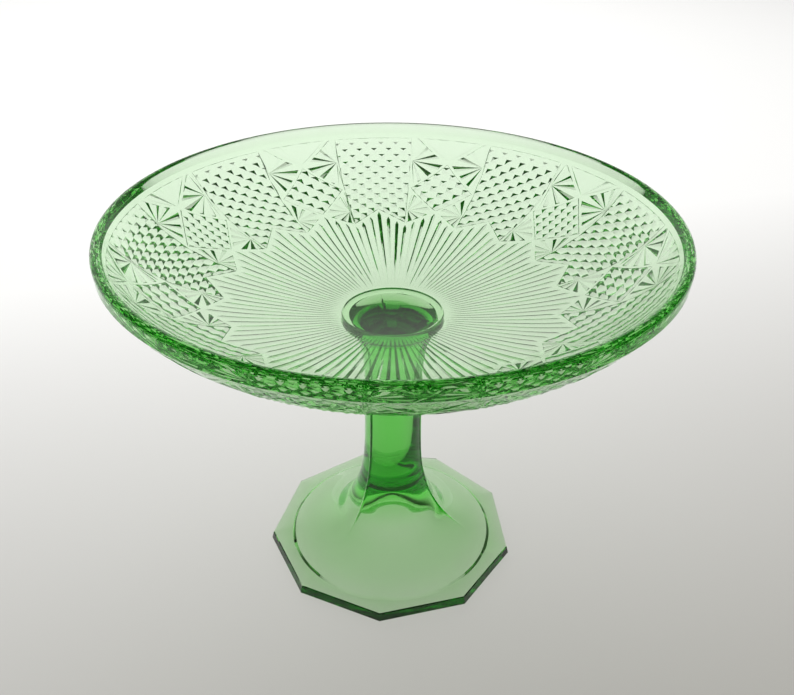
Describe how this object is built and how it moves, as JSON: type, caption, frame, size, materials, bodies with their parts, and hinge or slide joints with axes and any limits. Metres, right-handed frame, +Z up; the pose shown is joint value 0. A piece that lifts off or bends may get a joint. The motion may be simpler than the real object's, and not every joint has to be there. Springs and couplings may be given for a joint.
{
  "type": "footed glass dish",
  "caption": "Shallow round pressed-glass dish with diamond and ray relief underneath, on a solid stem and a hollow nine-sided foot.",
  "frame": {"origin": "centre of the foot's resting plane, under the stem's axis", "axes": "+Z up along the stem's axis, +X through a corner of the nine-sided foot, on a mould seam"},
  "size_m": [0.216, 0.216, 0.154],
  "materials": {
    "dish_glass": "fire-polished, clear green uranium glass, pressed relief underneath",
    "join_glass": "fire-polished, clear green uranium glass",
    "pedestal_glass": "fire-polished, clear green uranium glass, faint mould seams"
  },
  "bodies": {
    "root": {"dish": "dish_glass", "join_wafer": "join_glass", "pedestal": "pedestal_glass"}
  },
  "joints": []
}
